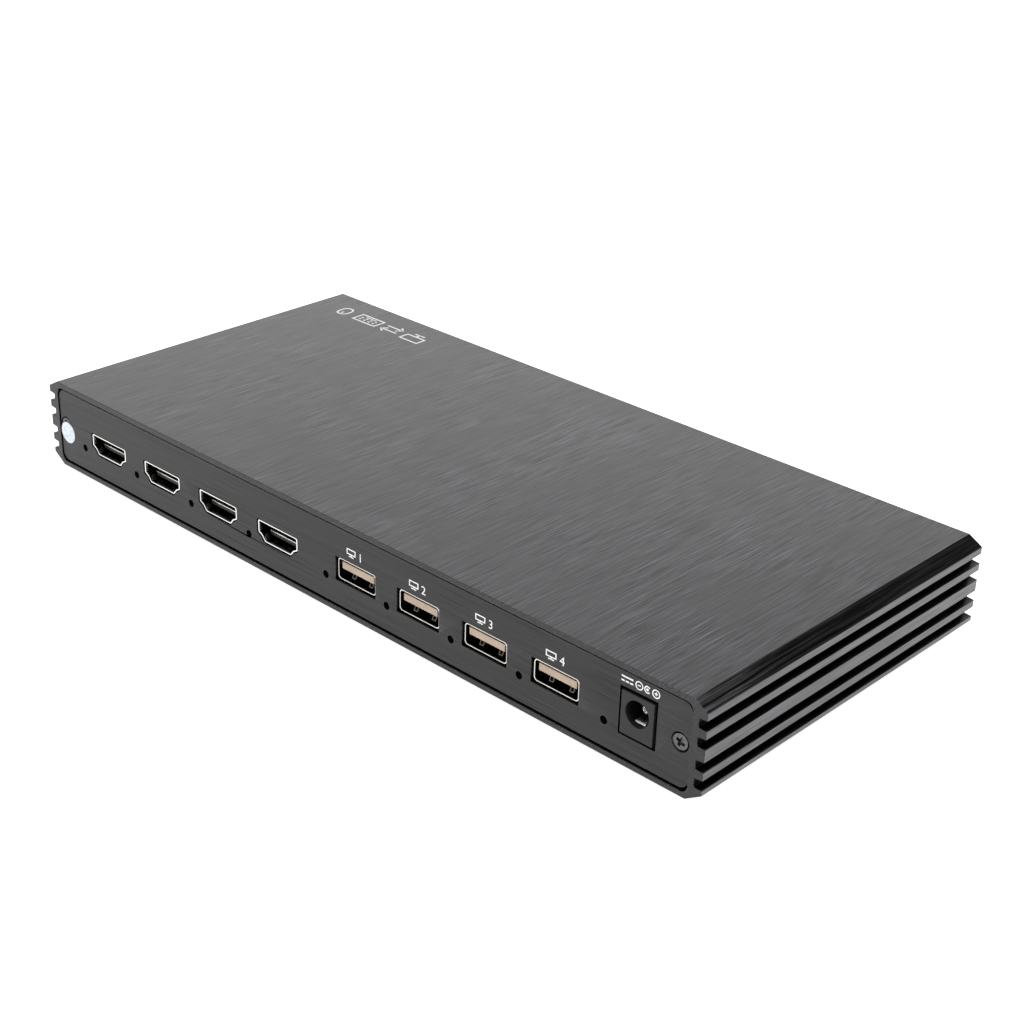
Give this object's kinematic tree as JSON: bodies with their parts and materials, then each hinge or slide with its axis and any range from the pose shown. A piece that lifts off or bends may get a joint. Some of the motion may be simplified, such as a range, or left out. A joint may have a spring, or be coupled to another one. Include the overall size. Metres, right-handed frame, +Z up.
{
  "type": "kvm switch",
  "caption": "Flat black aluminium desktop switch box that lets several computers share one screen, keyboard and mouse, with finned sides and port panels at both ends.",
  "frame": {"origin": "middle of the case in plan, at the underside of the rubber feet", "axes": "+Z up; -Y out of the rear port panel with the video and host ports; +Y out of the front panel with the buttons; +X to the right when facing the rear panel"},
  "size_m": [0.23, 0.1055, 0.0263],
  "materials": {
    "case_anodised": "brushed black anodised, satin",
    "panel_anodised": "fine brushed black anodised, satin",
    "black_screw": "black oxide",
    "seal_paper": "matte white",
    "foot_rubber": "matte black",
    "board_laminate": "green solder mask",
    "port_steel": "bright nickel plated",
    "port_black": "black moulded",
    "port_cream": "cream moulded",
    "contact_gold": "gold flashed",
    "jack_plastic": "black moulded",
    "jack_metal": "nickel plated",
    "light_lens": "clear moulded",
    "switch_plastic": "black moulded",
    "button_plastic": "fine satin dark grey",
    "window_red": "dark red filter",
    "chip_epoxy": "moulded epoxy",
    "pad_silicone": "soft pale blue",
    "sink_anodised": "black anodised",
    "can_aluminium": "bright drawn",
    "ferrite": "moulded iron powder",
    "component_ceramic": "ceramic with tinned ends"
  },
  "bodies": {
    "chassis": {"case_extrusion": "case_anodised", "rear_panel": "panel_anodised", "front_panel": "panel_anodised", "rear_panel_screws": "black_screw", "front_panel_screws": "black_screw", "seal_sticker": "seal_paper", "rubber_feet": "foot_rubber", "main_board": "board_laminate", "video_in_shell_1": "port_steel", "video_in_shell_2": "port_steel", "video_in_shell_3": "port_steel", "video_in_shell_4": "port_steel", "video_in_insert_1": "port_black", "video_in_insert_2": "port_black", "video_in_insert_3": "port_black", "video_in_insert_4": "port_black", "video_out_shell": "port_steel", "video_out_insert": "port_black", "video_contacts": "contact_gold", "host_port_shell_1": "port_steel", "host_port_shell_2": "port_steel", "host_port_shell_3": "port_steel", "host_port_shell_4": "port_steel", "host_port_insert_1": "port_cream", "host_port_insert_2": "port_cream", "host_port_insert_3": "port_cream", "host_port_insert_4": "port_cream", "host_port_contacts": "contact_gold", "device_port_shell_1": "port_steel", "device_port_shell_2": "port_steel", "device_port_shell_3": "port_steel", "device_port_insert_1": "port_cream", "device_port_insert_2": "port_cream", "device_port_insert_3": "port_cream", "device_port_contacts": "contact_gold", "power_jack_body": "jack_plastic", "power_jack_pin": "jack_metal", "power_jack_spring": "jack_metal", "rear_status_lights": "light_lens", "front_status_lights": "light_lens", "switch_housings": "switch_plastic", "receiver_window": "window_red", "remote_receiver": "port_black", "audio_jack_body": "jack_plastic", "audio_jack_springs": "contact_gold", "video_chip": "chip_epoxy", "thermal_pad": "pad_silicone", "heat_sink": "sink_anodised", "logic_chips": "chip_epoxy", "filter_capacitors": "can_aluminium", "power_inductors": "ferrite", "small_parts": "component_ceramic"},
    "button_1": {"select_button_1": "button_plastic", "switch_plunger_1": "switch_plastic"},
    "button_2": {"select_button_2": "button_plastic", "switch_plunger_2": "switch_plastic"},
    "button_3": {"select_button_3": "button_plastic", "switch_plunger_3": "switch_plastic"},
    "button_4": {"select_button_4": "button_plastic", "switch_plunger_4": "switch_plastic"}
  },
  "joints": [
    {"name": "press_button_1", "type": "slide", "parent": "chassis", "child": "button_1", "axis": [0, -1, 0], "range_m": [0, 0.0005], "stiffness_N_per_m": 2000, "springref_m": -0.0003},
    {"name": "press_button_2", "type": "slide", "parent": "chassis", "child": "button_2", "axis": [0, -1, 0], "range_m": [0, 0.0005], "stiffness_N_per_m": 2000, "springref_m": -0.0003},
    {"name": "press_button_3", "type": "slide", "parent": "chassis", "child": "button_3", "axis": [0, -1, 0], "range_m": [0, 0.0005], "stiffness_N_per_m": 2000, "springref_m": -0.0003},
    {"name": "press_button_4", "type": "slide", "parent": "chassis", "child": "button_4", "axis": [0, -1, 0], "range_m": [0, 0.0005], "stiffness_N_per_m": 2000, "springref_m": -0.0003}
  ]
}
